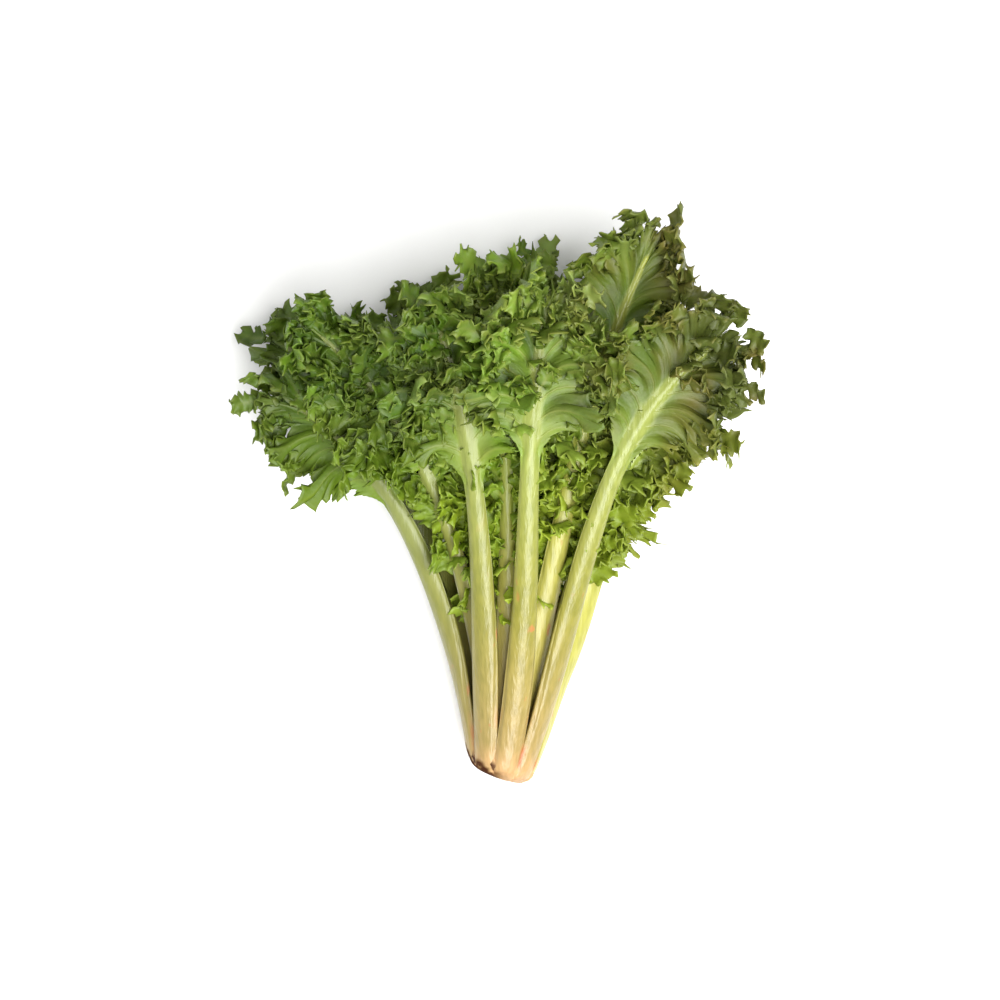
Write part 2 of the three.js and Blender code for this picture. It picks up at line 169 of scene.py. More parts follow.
class Leaf:
    def __init__(self, name, seed):
        self.name, self.seed = name, seed
        self.whorl = WHORLS[name.split("_")[0]]
        self.around, self.tip, heading, pitch, self.reach, self.bare = LEAVES[name]
        turn, lean = math.radians(self.around), math.radians(self.whorl["lean"])
        heading, pitch = math.radians(heading), math.radians(pitch)
        out = np.array([math.cos(turn), 0, math.sin(turn)])
        self.foot = out * self.whorl["radius"]
        self.foot[1] = BUTT + self.whorl["rise"] + BUTT_SLANT * self.foot[0]
        self.foot[0] += AXIS_LEAN * self.whorl["rise"]
        self.foot[2] += AXIS_HEIGHT
        self.tip = np.array(self.tip, float)
        span = np.linalg.norm(self.tip - self.foot)
        leaves = np.array([AXIS_LEAN, math.cos(lean), 0]) + out * math.sin(lean)
        arrives = np.array([
            math.sin(heading) * math.cos(pitch),
            math.cos(heading) * math.cos(pitch),
            math.sin(pitch),
        ])
        self.near = self.foot + leaves * span * 0.38
        self.near[2] = max(self.near[2], self.foot[2] + LEVEL_RISE * self.whorl["rise"])
        self.far = self.tip - arrives * span * 0.32

    def stations(self, u):
        w = u[:, None]
        place = (1 - w) ** 3 * self.foot + 3 * (1 - w) ** 2 * w * self.near
        place = place + 3 * (1 - w) * w * w * self.far + w ** 3 * self.tip
        forward = (1 - w) ** 2 * (self.near - self.foot) + w * w * (self.tip - self.far)
        forward = unit(forward + 2 * (1 - w) * w * (self.far - self.near))
        flat = 270 if self.around > 180 else 90
        blade = mix(flat, self.around, 0.28)
        turn = np.radians(mix(self.around, blade, smooth(u, 0.05, 0.55)))
        outward = np.stack([np.cos(turn), 0 * turn, np.sin(turn)], 1)
        outward = unit(outward - forward * np.sum(outward * forward, 1, keepdims=True))
        return place, forward, outward, np.cross(forward, outward)

    def share(self, u):
        return np.maximum(0, (u - self.bare) / (1 - self.bare))

    def in_blade(self, u):
        return smooth(u, self.bare * 0.98, self.bare + 0.06)

    def rib_half_width(self, u):
        swollen = mix(1, STALK_SWELL, smooth(u, 0, 0.25))
        stalk = self.whorl["half_width"] * mix(swollen, STALK_WAIST, smooth(u, 0.3, self.bare))
        return stalk * mix(1, RIB_TIP, smooth(u, self.bare * 0.9, 1))

    def rib_thickness(self, u):
        swollen = mix(1, STALK_SWELL, smooth(u, 0, 0.2))
        return self.whorl["thickness"] * mix(swollen, RIB_TIP, smooth(u, self.bare * 0.6, 1))

    def full_reach(self, u):
        b = self.share(u)
        return self.reach * mix(0.1, 1, smooth(b, -0.1, 0.45)) * (1 - 0.3 * b * b)

    def turns(self, u, side):
        return self.whorl["lobes"] * 2 * self.share(u) + (side < 0)

    def rise(self, u, side):
        start = 2 * round(chance(self.seed, side))
        sway = np.cos(math.pi / 2 * (self.turns(u, side) + start))
        ruffle = RUFFLE * np.cos(math.pi * self.turns(u, side))
        return (self.whorl["wave"] * sway + ruffle) * self.in_blade(u)

    def sheet(self, u, side, across, rise):
        """Points at a distance across from the rib, on one side, for rows u."""
        place, forward, outward, sideways = self.stations(u)
        rib = self.rib_half_width(u)
        b = self.share(u)
        hug = mix(1 / self.whorl["radius"], 0.02, smooth(u, 0, self.bare * 0.9))
        within = np.minimum(across, rib[:, None])
        beyond = np.maximum(0, across - rib[:, None])
        t = beyond / self.reach
        vein = np.radians(VEIN_ANGLE) * (1 - b * b)[:, None] * mix(VEIN_START, 1, smooth(t, 0, 0.8))
        a = np.sin(hug[:, None] * within) / hug[:, None] + beyond * np.sin(vein)
        o = -(1 - np.cos(hug[:, None] * within)) / hug[:, None]
        o = o + t ** 1.3 * rise[:, None] + REFLEX * t * t * smooth(b, 0, 0.3)[:, None]
        f = beyond * np.cos(vein)
        return (place[:, None] + side * a[..., None] * sideways[:, None]
                + o[..., None] * outward[:, None] + f[..., None] * forward[:, None])


leaves = [Leaf(name, i + 1) for i, name in enumerate(LEAVES)]
print("longest rib", round(max(np.linalg.norm(l.tip - l.foot) for l in leaves)), "mm")

# %% [markdown]
# ## Where the solids bent clear
# In the part, blades that would cross are lifted or pressed down. The same lift is read off
# each solid: at every corner of its coarse grid the two nearest corners of the solid lie on
# either side of the sheet, and the mean of their heights is where the sheet went.

# %% Lifts taken from the solids
STALK_ROWS = 5


def coarse_rows(leaf):
    blade_rows = leaf.whorl["lobes"] * 2
    stalk = leaf.bare * np.arange(STALK_ROWS) / STALK_ROWS
    return np.concatenate([stalk, np.linspace(leaf.bare, 1, blade_rows + 1)])


def lifts(leaf, side):
    corners = np.array([v.co for v in frame["nodes"][leaf.name].data.vertices])
    corners = (corners - np.array(PLANT)) * 1000
    u = coarse_rows(leaf)
    row = np.arange(len(u)) - STALK_ROWS
    turn = row + (side < 0)
    lobe = (turn % 2 == 0) | (row == row[-1])
    spread = np.array([6 * (chance(leaf.seed, 2 * j + side) - 0.5) for j in range(len(u))])
    inside = leaf.in_blade(u)
    reach = leaf.full_reach(u) * np.where(lobe, 1, 1 - BAY_DEPTH) + inside * spread
    rib = leaf.rib_half_width(u)
    slim = rib[:, None] * np.array([0, 0.45, 0.8, 1])
    broad = np.stack([0 * rib, rib, rib + 0.5 * reach, rib + reach], 1)
    across = mix(slim, broad, inside[:, None])
    plain = leaf.sheet(u, side, across, leaf.rise(u, side))
    gap = plain[:, :, None, :2] - corners[None, None, :, :2]
    apart = np.linalg.norm(gap, axis=3)
    nearest = np.argsort(apart, axis=2)[:, :, :2]
    height = corners[nearest, 2].mean(2)
    good = np.take_along_axis(apart, nearest, 2).max(2) < 1.6
    lift = np.where(good & (np.arange(4) > 1) & (row[:, None] > 0), height - plain[..., 2], 0)
    return u, np.clip(lift, -14, 14)


def lift_at(leaf, side, u, share):
    rows, lift = lifts(leaf, side)
    at = np.interp(u, rows, np.arange(len(rows)))
    low = np.minimum(at.astype(int), len(rows) - 2)
    part = (at - low)[:, None]
    line = mix(lift[low], lift[low + 1], part)
    knots = np.array([0, 0, 0.5, 1.0])
    return np.stack([np.interp(s, knots[1:], k[1:]) for s, k in zip(share, line)])


sample = lifts(leaves[0], 1)[1]
print("lifts of the first leaf run from", sample.min().round(1), "to", sample.max().round(1), "mm")

# %% [markdown]
# ## The margin
# The margin of curly endive grows far faster than its middle, so it has to fold: broad folds of
# about 23 mm near the rib, curls half as long on those, and small crimps at the very edge. Each
# set rises along the surface that the last one left. The folds are made as slopes, and a blade
# that bends by a slope at every step outward keeps its width as thin tissue does.

# %% Folds
# Each set of folds: its length along the margin in mm, how steeply it turns in radians, where
# on the way from rib to margin it starts, and how far its crests swell sideways in mm.
FOLDS = [(23.0, 0.25, 0.1, 1.5), (11.5, 0.6, 0.5, 1.2), (5.6, 0.6, 0.75, 0.5)]
FULL_FOLDS_REACH = 40
ROLL_UP, ROLL_DOWN = 0.12, -0.2


def surface_normals(grid):
    along = np.gradient(grid, axis=0)
    across = np.gradient(grid, axis=1)
    normal = unit(np.cross(across, along))
    normal[-1] = unit(normal[-1] + normal[-1, ::-1])
    return normal


def margin_run(leaf, u, side):
    """The way along one margin of the plain sheet, up to each station."""
    bay = 0.5 - 0.5 * np.cos(math.pi * leaf.turns(u, side))
    reach = leaf.full_reach(u) * (1 - BAY_DEPTH * bay)
    across = (leaf.rib_half_width(u) + reach)[:, None]
    margin = leaf.sheet(u, side, across, leaf.rise(u, side))[:, 0]
    return np.concatenate([[0], np.cumsum(np.linalg.norm(np.diff(margin, axis=0), axis=1))])


def even_rows(leaf, count):
    """Blade stations that lie nearly evenly along both margins."""
    u = np.linspace(leaf.bare, 1, 600)
    run = margin_run(leaf, u, -1) + margin_run(leaf, u, 1)
    way = mix(run / run[-1], (u - leaf.bare) / (1 - leaf.bare), 0.2)
    return np.interp(np.linspace(0, 1, count), way, u)


def folding(from_tip, share, leaf, side, wildness):
    """The slope of the sheet along each vein, and how far the folds swell along the margin."""
    slope = np.zeros(share.shape)
    swell = np.zeros(share.shape)
    for k, (length, turn, start, sideways) in enumerate(FOLDS):
        drift = 1.5 * np.sin(from_tip / (2.3 * length) + leaf.seed + k)
        phase = 2 * math.pi * from_tip / length + drift + 1.7 * leaf.seed * (k + 1)
        phase = phase[:, None] + 1.4 * share * math.sin(leaf.seed + side + k)
        strength = 0.8 + 0.35 * np.sin(from_tip / (1.6 * length) + 2 * leaf.seed + side)
        grow = smooth(share, start, 1) * strength[:, None] * wildness
        slope += turn * grow * np.sin(phase)
        swell -= sideways * grow * np.sin(2 * phase)
    return slope, swell


def bend(slope, across):
    """A sheet that turns by a slope at every step outward: its new width and its rise."""
    middle = (slope[:, 1:] + slope[:, :-1]) / 2
    steps = np.diff(across, axis=1)
    start = across[:, :1] * 0
    bent = np.concatenate([start, np.cumsum(steps * np.cos(middle), axis=1)], axis=1)
    lifted = np.concatenate([start, np.cumsum(steps * np.sin(middle), axis=1)], axis=1)
    return bent, lifted


sample = margin_run(leaves[0], even_rows(leaves[0], 200), 1)
print("the margin of the first leaf's plain sheet is", round(sample[-1]), "mm long on one side")

# %% [markdown]
# ## Teeth and veins
# Sharp teeth of uneven length line the margin, with longer points among them. A tooth that
# falls between two rows of corners is lost, so each one rises and falls over whole rows. One
# vein runs to each lobe, and finer ones leave it on the way out.

# %% Teeth and veins
LONG_POINT_STEP = (8, 14)
LONG_POINT_LEAD = 4
LONG_POINT_HEIGHT = (1.0, 4.0)
TOOTH_ROWS = (2, 5)
TOOTH_HEIGHT = (0.8, 2.8)


def saw(rows, rng, steps, heights, lead=1):
    """Teeth over whole rows: each rises to its point in a few rows and falls to a notch."""
    knots, tops = [0], [0.0]
    while knots[-1] < rows:
        step = rng.integers(*steps)
        knots += [knots[-1] + lead, knots[-1] + step]
        tops += [rng.uniform(*heights), 0.0]
    return np.interp(np.arange(rows), knots, tops)


def margin_teeth(leaf, u, rows_per_mm, rng):
    """Long points and small teeth along one margin, in mm."""
    steps = tuple(round(mm * rows_per_mm) for mm in LONG_POINT_STEP)
    lead = round(LONG_POINT_LEAD * rows_per_mm)
    points = saw(len(u), rng, steps, LONG_POINT_HEIGHT, lead)
    small = saw(len(u), rng, TOOTH_ROWS, TOOTH_HEIGHT)
    return points * leaf.in_blade(u), small * leaf.in_blade(u)


def vein_pattern(turn, share):
    """Pale lines: one vein to each lobe, and side veins that leave it on the way out."""
    apart = np.abs((turn[:, None] + 1) % 2 - 1)
    main = np.exp(-(apart / (0.13 * (1 - 0.6 * share))) ** 2) * (1 - share) ** 0.4
    step = (share - apart * 0.42) / 0.13
    near = np.abs(step % 1 - 0.5)
    side = np.exp(-((0.5 - near) / 0.12) ** 2) * smooth(apart, 0.02, 0.2) * (1 - share) ** 0.6
    return np.maximum(main, 0.4 * side * (step > 0))


sample = saw(60, np.random.default_rng(1), TOOTH_ROWS, TOOTH_HEIGHT)
print("60 rows carry", int(np.sum((sample[1:-1] > sample[:-2]) & (sample[1:-1] > sample[2:]))), "teeth")

# %% [markdown]
# ## The foot of a stalk
# The stalks clasp the core. Each broadens towards its foot, and all of them end on the one
# slanting, slightly domed cut that the knife left. Corners that would lie past the cut are moved
# up onto it, and there the tissue has browned, most of all on the left.

# %% Feet and cut
FOOT_FLARE = 0.5
# The foot of a stalk reaches this far below the start of its rib, as a share of the rib.
FOOT_REACH = 0.036
# How much broader than the others a stalk is, and how much of a painted yellow light it takes.
BROAD_STALKS = {
    "outer_leaf_5": 1.45, "middle_leaf_1": 1.25, "middle_leaf_7": 1.3, "inner_leaf_5": 1.7,
}
PAINTED_LIGHT_STALKS = {"outer_leaf_5": 0.8, "middle_leaf_1": 0.4}
# How far up the cut lies at each distance from the head's axis, in mm.
CUT_RADII = [0, 5, 9, 12.4, 15, 17, 19, 21]
CUT_RISES = [-7, -6.8, -6.2, -5, -3.2, -0.6, 3, 8]


def foot_flare(leaf, u):
    """How many times broader the stalk is than its rib."""
    flare = 1 + FOOT_FLARE * (1 - smooth(u, 0.03, 0.42))[:, None]
    broader = BROAD_STALKS.get(leaf.name, 1)
    return flare * mix(0.72, broader, smooth(u, -FOOT_REACH, 0.02))[:, None]


def trimmed(points):
    """Points moved up onto the cut, and how browned each is there."""
    x, y = points[..., 0], points[..., 1]
    radius = np.hypot(x - AXIS_LEAN * (y - BUTT), points[..., 2] - AXIS_HEIGHT)
    cut = BUTT + BUTT_SLANT * x + np.interp(radius, CUT_RADII, CUT_RISES)
    low = cut - y
    points[..., 1] = np.maximum(y, cut)
    return smooth(low, 0.2, 1.4) * mix(0.2, 1, 1 - smooth(x, -6, 5))


print("the cut rises", CUT_RISES[-1] - CUT_RISES[0], "mm from the axis to its rim")

# %% [markdown]
# ## One side of a leaf
# A leaf is worked out as two halves, from the rib out to either margin. A half starts as the
# flat width of the stalk and the blade, gets its teeth, is bent into folds, and is laid on the
# curved sheet that the rib carries. Its veins and tones are kept for the finish.

# %% Half a leaf
RIB_COLUMNS = 0.16
# Blades that their neighbours held back from spreading.
HELD_BACK = {"outer_leaf_5": 0.72, "inner_leaf_5": 0.72, "middle_leaf_7": 0.9}


def lobed_reach(leaf, u, side):
    """How far the blade reaches from the rib, with its lobes, bays and narrower tip."""
    turn = leaf.turns(u, side)
    bay = 0.5 - 0.5 * np.cos(math.pi * turn)
    uneven = 1 + 0.1 * np.sin(turn * 1.7 + leaf.seed * 3 + side)
    reach = leaf.full_reach(u) * (1 - BAY_DEPTH * bay ** 0.8) * uneven
    return reach * HELD_BACK.get(leaf.name, 1) * (1 - 0.4 * smooth(leaf.share(u), 0.88, 1))


def half_leaf(leaf, side, u, t, blade_rows, rng):
    """The corners of one side with their rise, swell, margin, veins, tooth tips and tones."""
    inside = leaf.in_blade(u)[:, None]
    rib = leaf.rib_half_width(u)[:, None]
    over_blade = np.clip((t - RIB_COLUMNS) / (1 - RIB_COLUMNS), 0, 1)
    out_share = 1 - (1 - over_blade) ** 1.2
    share = out_share * inside
    edge = smooth(out_share, 0.65, 1)
    turn = leaf.turns(u, side)
    run = margin_run(leaf, u, side)
    points, small = margin_teeth(leaf, u, blade_rows / run[-1], rng)
    slim = rib * foot_flare(leaf, u) * np.sin(t * math.pi / 2)
    broad = rib * np.minimum(1, t / RIB_COLUMNS) + lobed_reach(leaf, u, side)[:, None] * out_share
    across = mix(slim, broad, inside) + (small + points)[:, None] * edge
    wildness = mix(0.6, 1, leaf.reach / FULL_FOLDS_REACH)
    slope, swell = folding(run[-1] - run, share, leaf, side, wildness)
    roll = ROLL_UP if leaf.around <= 180 else ROLL_DOWN
    slope = (slope + roll * smooth(share, 0.3, 1)) * inside
    bent, lifted = bend(slope, across)
    grid = leaf.sheet(u, side, bent, leaf.rise(u, side))
    grid[..., 2] += lift_at(leaf, side, u, share)
    swell = (swell + 0.5 * small[:, None] * edge) * inside
    vein = vein_pattern(turn, out_share) * inside
    tip = small[:, None] / 3 * edge * inside
    lobe_tones = rng.uniform(0, 1, 2 * leaf.whorl["lobes"] + 3)
    tone = np.interp(turn, np.arange(len(lobe_tones)), lobe_tones)[:, None] + 0 * share
    return grid, lifted, swell, share, vein, tip, tone


sample = lobed_reach(leaves[0], even_rows(leaves[0], 200), 1)
print("the first blade reaches up to", sample.max().round(1), "mm from its rib")

# %% [markdown]
# ## Both sides, with their thickness
# The halves are joined at the rib and meet in one line at the tip. The stalk and the rib are
# thick and rounded on the outside, the blade is a thin sheet, and the veins stand a little proud.

# %% Whole leaves
BLADE_THICKNESS = 0.62
VEIN_RELIEF = 0.7


def thickened(leaf, u, t, grid, margin, vein):
    """The outer and the inner face, and how far over the rib each corner lies."""
    inside = leaf.in_blade(u)[:, None]
    across = np.abs(np.concatenate([-t[:0:-1], t]))[None, :]
    over = np.clip(mix(np.sin(across * math.pi / 2), across / RIB_COLUMNS, inside), 0, 1)
    thick = leaf.rib_thickness(u)[:, None]
    edge = mix(thick * STALK_EDGE, BLADE_THICKNESS * (1 - 0.45 * margin), inside)
    depth = np.maximum(edge, thick * np.sqrt(1 - over ** 2))
    share = np.where(depth > edge * 1.02, OUTER_SHARE, 0.5)
    beside = smooth(over, 0.9, 1) * smooth(margin, 0, 0.12)
    relief = VEIN_RELIEF * vein * (1 - margin) * beside
    foot = np.sqrt(smooth(u, -1.1 * FOOT_REACH, 0.02))[:, None]
    normal = surface_normals(grid)
    outer = grid + normal * (depth * share * foot + relief)[..., None]
    inner = grid - normal * (depth * (1 - share))[..., None]
    return outer, inner, over


def fine_leaf(leaf, stalk_rows, blade_rows, half):
    """The two faces of a leaf and the patterns that its finish reads."""
    rng = np.random.default_rng(leaf.seed)
    down = np.linspace(0, 1, stalk_rows, endpoint=False) ** 1.5
    u = np.concatenate([mix(-FOOT_REACH, leaf.bare, down), even_rows(leaf, blade_rows)])
    t = np.linspace(0, 1, half + 1)
    halves = [half_leaf(leaf, side, u, t, blade_rows, rng) for side in (-1, 1)]
    joined = [np.concatenate([left[:, :0:-1], right], axis=1) for left, right in zip(*halves)]
    grid, lifted, swell, margin, vein, tip, tone = joined
    for field in (grid, lifted):
        field[-1] = (field[-1] + field[-1, ::-1]) / 2
    swell[-1] = 0
    tangent = unit(np.gradient(grid, axis=0))
    grid = grid + lifted[..., None] * surface_normals(grid) + swell[..., None] * tangent
    outer, inner, over = thickened(leaf, u, t, grid, margin, vein)
    browned = np.maximum(trimmed(outer), trimmed(inner))
    inside = leaf.in_blade(u)[:, None]
    fan = (1 - smooth(leaf.share(u), 0.05, 0.5))[:, None] * (1 - smooth(margin, 0.2, 0.8)) * inside
    fields = dict(along=u[:, None], margin=margin, vein=vein, tip=tip, fan=fan, tone=tone,
                  edge=smooth(over, 0.7, 1) * (1 - inside), browned=browned,
                  # painted light: the share of painted yellow light on this stalk
                  sunny=PAINTED_LIGHT_STALKS.get(leaf.name, 0))
    return outer, inner, fields


sample = fine_leaf(leaves[0], 10, 120, 4)[0]
print("the first leaf is", round(np.ptp(sample[..., 1])), "mm long along the head")

# %% [markdown]
# ## From sheet to leaf
# The outer and the inner face share one grid of corners. A rim closes them along both margins
# and across the foot, and the two halves of the last row are one line at the tip, so every
# leaf is one closed body.

# %% Closed leaf meshes
# Stalk rows, blade rows and half the columns, for leaves in full view, half hidden and behind.
DETAIL = {"full": (30, 310, 12), "half": (24, 200, 10), "behind": (20, 120, 8)}
IN_VIEW = {
    "outer_leaf_1": "full", "outer_leaf_2": "full", "outer_leaf_3": "full",
    "outer_leaf_4": "full", "middle_leaf_1": "full", "middle_leaf_2": "full",
    "middle_leaf_3": "full", "middle_leaf_7": "full", "outer_leaf_5": "half",
    "outer_leaf_8": "half", "middle_leaf_6": "half", "inner_leaf_1": "half",
    "inner_leaf_2": "half",
}


def closed_mesh(name, outer, inner, fields, pointed=True):
    """A closed body between two faces in mm; a pointed one has one line for its last row."""
    rows, columns = outer.shape[:2]
    index = np.arange(rows * columns).reshape(rows, columns)
    if pointed:
        index[-1, : columns // 2] = index[-1, : columns // 2 : -1]
    under = index + rows * columns
    quad = lambda a, b, c, d: np.stack([a, b, c, d], -1).reshape(-1, 4)
    end = [] if pointed else [quad(index[-1, :-1], index[-1, 1:], under[-1, 1:], under[-1, :-1])]
    faces = np.concatenate(end + [
        quad(index[:-1, :-1], index[:-1, 1:], index[1:, 1:], index[1:, :-1]),
        quad(under[:-1, :-1], under[1:, :-1], under[1:, 1:], under[:-1, 1:]),
        quad(index[:-1, -1], under[:-1, -1], under[1:, -1], index[1:, -1]),
        quad(index[:-1, 0], index[1:, 0], under[1:, 0], under[:-1, 0]),
        quad(index[0, :-1], under[0, :-1], under[0, 1:], index[0, 1:]),
    ])
    points = np.concatenate([outer.reshape(-1, 3), inner.reshape(-1, 3)])
    used, back = np.unique(faces, return_inverse=True)
    faces = back.reshape(faces.shape)
    mesh = bpy.data.meshes.new(name)
    mesh.from_pydata((points[used] / 1000).tolist(), [], faces.tolist())
    for key, field in fields.items():
        values = np.concatenate([np.broadcast_to(field, (rows, columns)).reshape(-1)] * 2)
        values = values[used].astype(np.float32)
        mesh.attributes.new(key, "FLOAT", "POINT").data.foreach_set("value", values)
    mesh.shade_smooth()
    mesh.update()
    return mesh


CLEAR_OF_TABLE = 0.05
leaf_objects = {}
for leaf in leaves:
    outer, inner, fields = fine_leaf(leaf, *DETAIL[IN_VIEW.get(leaf.name, "behind")])
    outer, inner = outer + np.array(PLANT) * 1000, inner + np.array(PLANT) * 1000
    lifted = np.maximum(0, CLEAR_OF_TABLE - np.minimum(outer[..., 2], inner[..., 2]))
    outer[..., 2] += lifted
    inner[..., 2] += lifted
    mesh = closed_mesh(leaf.name + "_look", outer, inner, fields)
    leaf_objects[leaf.name] = bpy.data.objects.new(leaf.name + "_look", mesh)
    bpy.context.scene.collection.objects.link(leaf_objects[leaf.name])
print("leaf quads", sum(len(o.data.polygons) for o in leaf_objects.values()))

# %% [markdown]
# ## The core
# The knife leaves a slanting cut through the short core. The cut dries and browns at its rim,
# most of all on the left, and the flesh above it stays moist and cream coloured. The core is a
# profile turned round the head's axis, a little out of round, and sheared to the slant.

# %% Core
# The distance from the axis and the place along it, in mm, from the cut to the growing point.
CORE_PROFILE = [
    (0, -6.2), (5, -6), (9, -5.2), (12.4, -3.8), (15, -1.8), (16.6, 0.8), (17, 3.4),
    (16, 6.5), (13, 10), (7.2, 14), (6.2, 18), (3.2, 21.5), (1.6, 26.5), (0, 27),
]
CORE_SIDES = 64


def core_mesh():
    points, faces = [(0.0, CORE_PROFILE[0][1], 0.0)], []
    for radius, rise in CORE_PROFILE[1:-1]:
        for k in range(CORE_SIDES):
            a = 2 * math.pi * k / CORE_SIDES
            wobble = 1 + 0.03 * math.sin(3 * a + 1) + 0.025 * math.sin(8 * a)
            points.append((radius * wobble * math.cos(a), rise, radius * wobble * math.sin(a)))
    points.append((0.0, CORE_PROFILE[-1][1], 0.0))
    rings = len(CORE_PROFILE) - 2
    last = 1 + (rings - 1) * CORE_SIDES
    for k in range(CORE_SIDES):
        n = (k + 1) % CORE_SIDES
        faces.append((0, 1 + k, 1 + n))
        for r in range(rings - 1):
            a, b = 1 + r * CORE_SIDES, 1 + (r + 1) * CORE_SIDES
            faces.append((a + k, b + k, b + n, a + n))
        faces.append((last + k, len(points) - 1, last + n))
    across, rise, up = np.array(points).T
    leaning = across + AXIS_LEAN * rise
    place = np.stack([leaning, rise + BUTT + BUTT_SLANT * across, up + AXIS_HEIGHT], 1)
    left = 1 - smooth(across, -6, 6)
    rim = smooth(-rise, mix(0.6, -4.5, left), mix(3.0, -1.5, left)) * mix(0.25, 1, left)
    mesh = bpy.data.meshes.new("core_look")
    mesh.from_pydata((place / 1000 + np.array(PLANT)).tolist(), [], faces)
    mesh.attributes.new("rim", "FLOAT", "POINT").data.foreach_set("value", rim.astype(np.float32))
    mesh.shade_smooth()
    return mesh


core = bpy.data.objects.new("core_look", core_mesh())
bpy.context.scene.collection.objects.link(core)
print("core faces", len(core.data.polygons))

# %% [markdown]
# ## Small curled leaflets
# The margin of an endive leaf breaks up into small curled scraps. They fill the gaps between
# the outer stalks, stand beside the ribs and cover most of the blades. They repeat in their
# hundreds, so three of them are made here and set along lines by nodes further on.

# %% Three leaflets
LEAFLET_LENGTH = 12
LEAFLET_CURL = 1.1
LEAFLET_TOOTH_ROWS, LEAFLET_TOOTH_HEIGHT = (2, 4), (0.5, 2.2)


def leaflet_mesh(name, seed):
    rng = np.random.default_rng(seed)
    rows, half = 14, 3
    v = np.linspace(0, 1, rows)
    t = np.linspace(-1, 1, 2 * half + 1)[None, :]
    body = 2.0 + 2.6 * np.sin(math.pi * v ** 0.8) ** 0.7
    teeth = [saw(rows, rng, LEAFLET_TOOTH_ROWS, LEAFLET_TOOTH_HEIGHT) for _ in (0, 1)]
    sides = [(body + side * smooth(v, 0.1, 0.3))[:, None] for side in teeth]
    wide = np.where(t < 0, *sides)
    v = v[:, None]
    waves = [np.sin(2 * math.pi * (rng.uniform(1.8, 2.6) * v + rng.uniform(0, 1))) for _ in (0, 1)]
    wave = np.where(t < 0, *waves)
    edge = np.abs(t) ** 1.6
    curl = LEAFLET_CURL * v
    x = t * wide * (1 - 0.25 * edge * np.abs(wave))
    y = LEAFLET_LENGTH * np.sin(curl) / LEAFLET_CURL
    y = y + 1.2 * edge * v + 0.7 * np.abs(t) * np.sin(19 * v + seed)
    z = LEAFLET_LENGTH * (1 - np.cos(curl)) / LEAFLET_CURL
    z = z + edge * (2.0 * wave + 1.0) - 0.5 * (1 - edge)
    grid = np.stack(np.broadcast_arrays(x, y, z), -1)
    normal = surface_normals_open(grid)
    thick = 0.3 * (1 - 0.4 * edge)[..., None] + 0.5 * ((1 - v) * (1 - np.abs(t)))[..., None]
    margin = np.broadcast_to(0.22 + 0.5 * edge, grid.shape[:2])
    vein = np.exp(-(t / 0.12) ** 2) * (1 - 0.6 * v)
    fields = dict(along=0.9, margin=margin, vein=vein, tip=edge * v)
    return closed_mesh(name, grid + normal * thick, grid - normal * thick, fields, pointed=False)


def surface_normals_open(grid):
    return unit(np.cross(np.gradient(grid, axis=1), np.gradient(grid, axis=0)))


leaflets = bpy.data.collections.new("leaflets")
for k in range(3):
    leaflets.objects.link(bpy.data.objects.new(f"leaflet_{k}", leaflet_mesh(f"leaflet_{k}", 40 + k)))

# %% [markdown]
# ## Where the leaflets grow
# They stand on both edges of a stalk below its blade, and beside the rib inside the blade. Most
# blades carry more of them half way out or near the margin. Each line carries the way that its
# leaflets point: away from the rib, forward, and outward from the face of the leaf.

# %% Lines for the leaflets
LINE_POINTS = 40
# From where to where along its rib a leaf carries leaflets at the edges of that rib.
FRILLED = {
    "outer_leaf_1": (0.86, 1.0), "outer_leaf_2": (0.9, 1.0), "outer_leaf_3": (0.8, 1.0),
    "outer_leaf_5": (0.72, 1.0),
    "middle_leaf_1": (0.42, 0.74), "middle_leaf_2": (0.4, 0.95), "middle_leaf_3": (0.36, 0.9),
    "middle_leaf_7": (0.42, 0.9), "inner_leaf_1": (0.3, 0.95), "inner_leaf_2": (0.26, 0.95),
    "inner_leaf_3": (0.3, 0.8), "inner_leaf_5": (0.3, 0.8), "heart_leaf_1": (0.3, 0.95),
    "heart_leaf_2": (0.3, 0.95), "heart_leaf_3": (0.3, 0.95),
}
# From where along the blade, and how far out from the rib, a leaf carries leaflets.
CRESTED = {
    "outer_leaf_1": (0.4, (0.6, 0.9)), "outer_leaf_2": (0.35, (0.92,)),
    "outer_leaf_3": (0.25, (0.55, 0.88)), "outer_leaf_4": (0.5, (0.95,)),
    "middle_leaf_1": (0.5, (0.95,)), "middle_leaf_2": (0.12, (0.5, 0.85)),
    "middle_leaf_3": (0.12, (0.5, 0.85)), "middle_leaf_7": (0.12, (0.6,)),
    "outer_leaf_6": (0.2, (0.7,)), "outer_leaf_7": (0.2, (0.7,)), "outer_leaf_8": (0.2, (0.7,)),
    "middle_leaf_4": (0.2, (0.7,)), "middle_leaf_5": (0.2, (0.7,)), "middle_leaf_6": (0.2, (0.7,)),
}


def edge_line(leaf, side):
    """Beside the rib, and on top of it where the leaf is an outer one."""
    u = np.linspace(*FRILLED[leaf.name], LINE_POINTS)
    forward, outward, sideways = leaf.stations(u)[1:]
    across = leaf.rib_half_width(u)[:, None] * 0.95 + 1.5 * leaf.in_blade(u)[:, None]
    line = leaf.sheet(u, side, across, leaf.rise(u, side))[:, 0]
    lift = 1.2 * leaf.rib_thickness(u)[:, None] * leaf.name.startswith("outer")
    way = unit(0.8 * side * sideways + 0.9 * forward + 0.45 * outward)
    return line + lift * outward, way


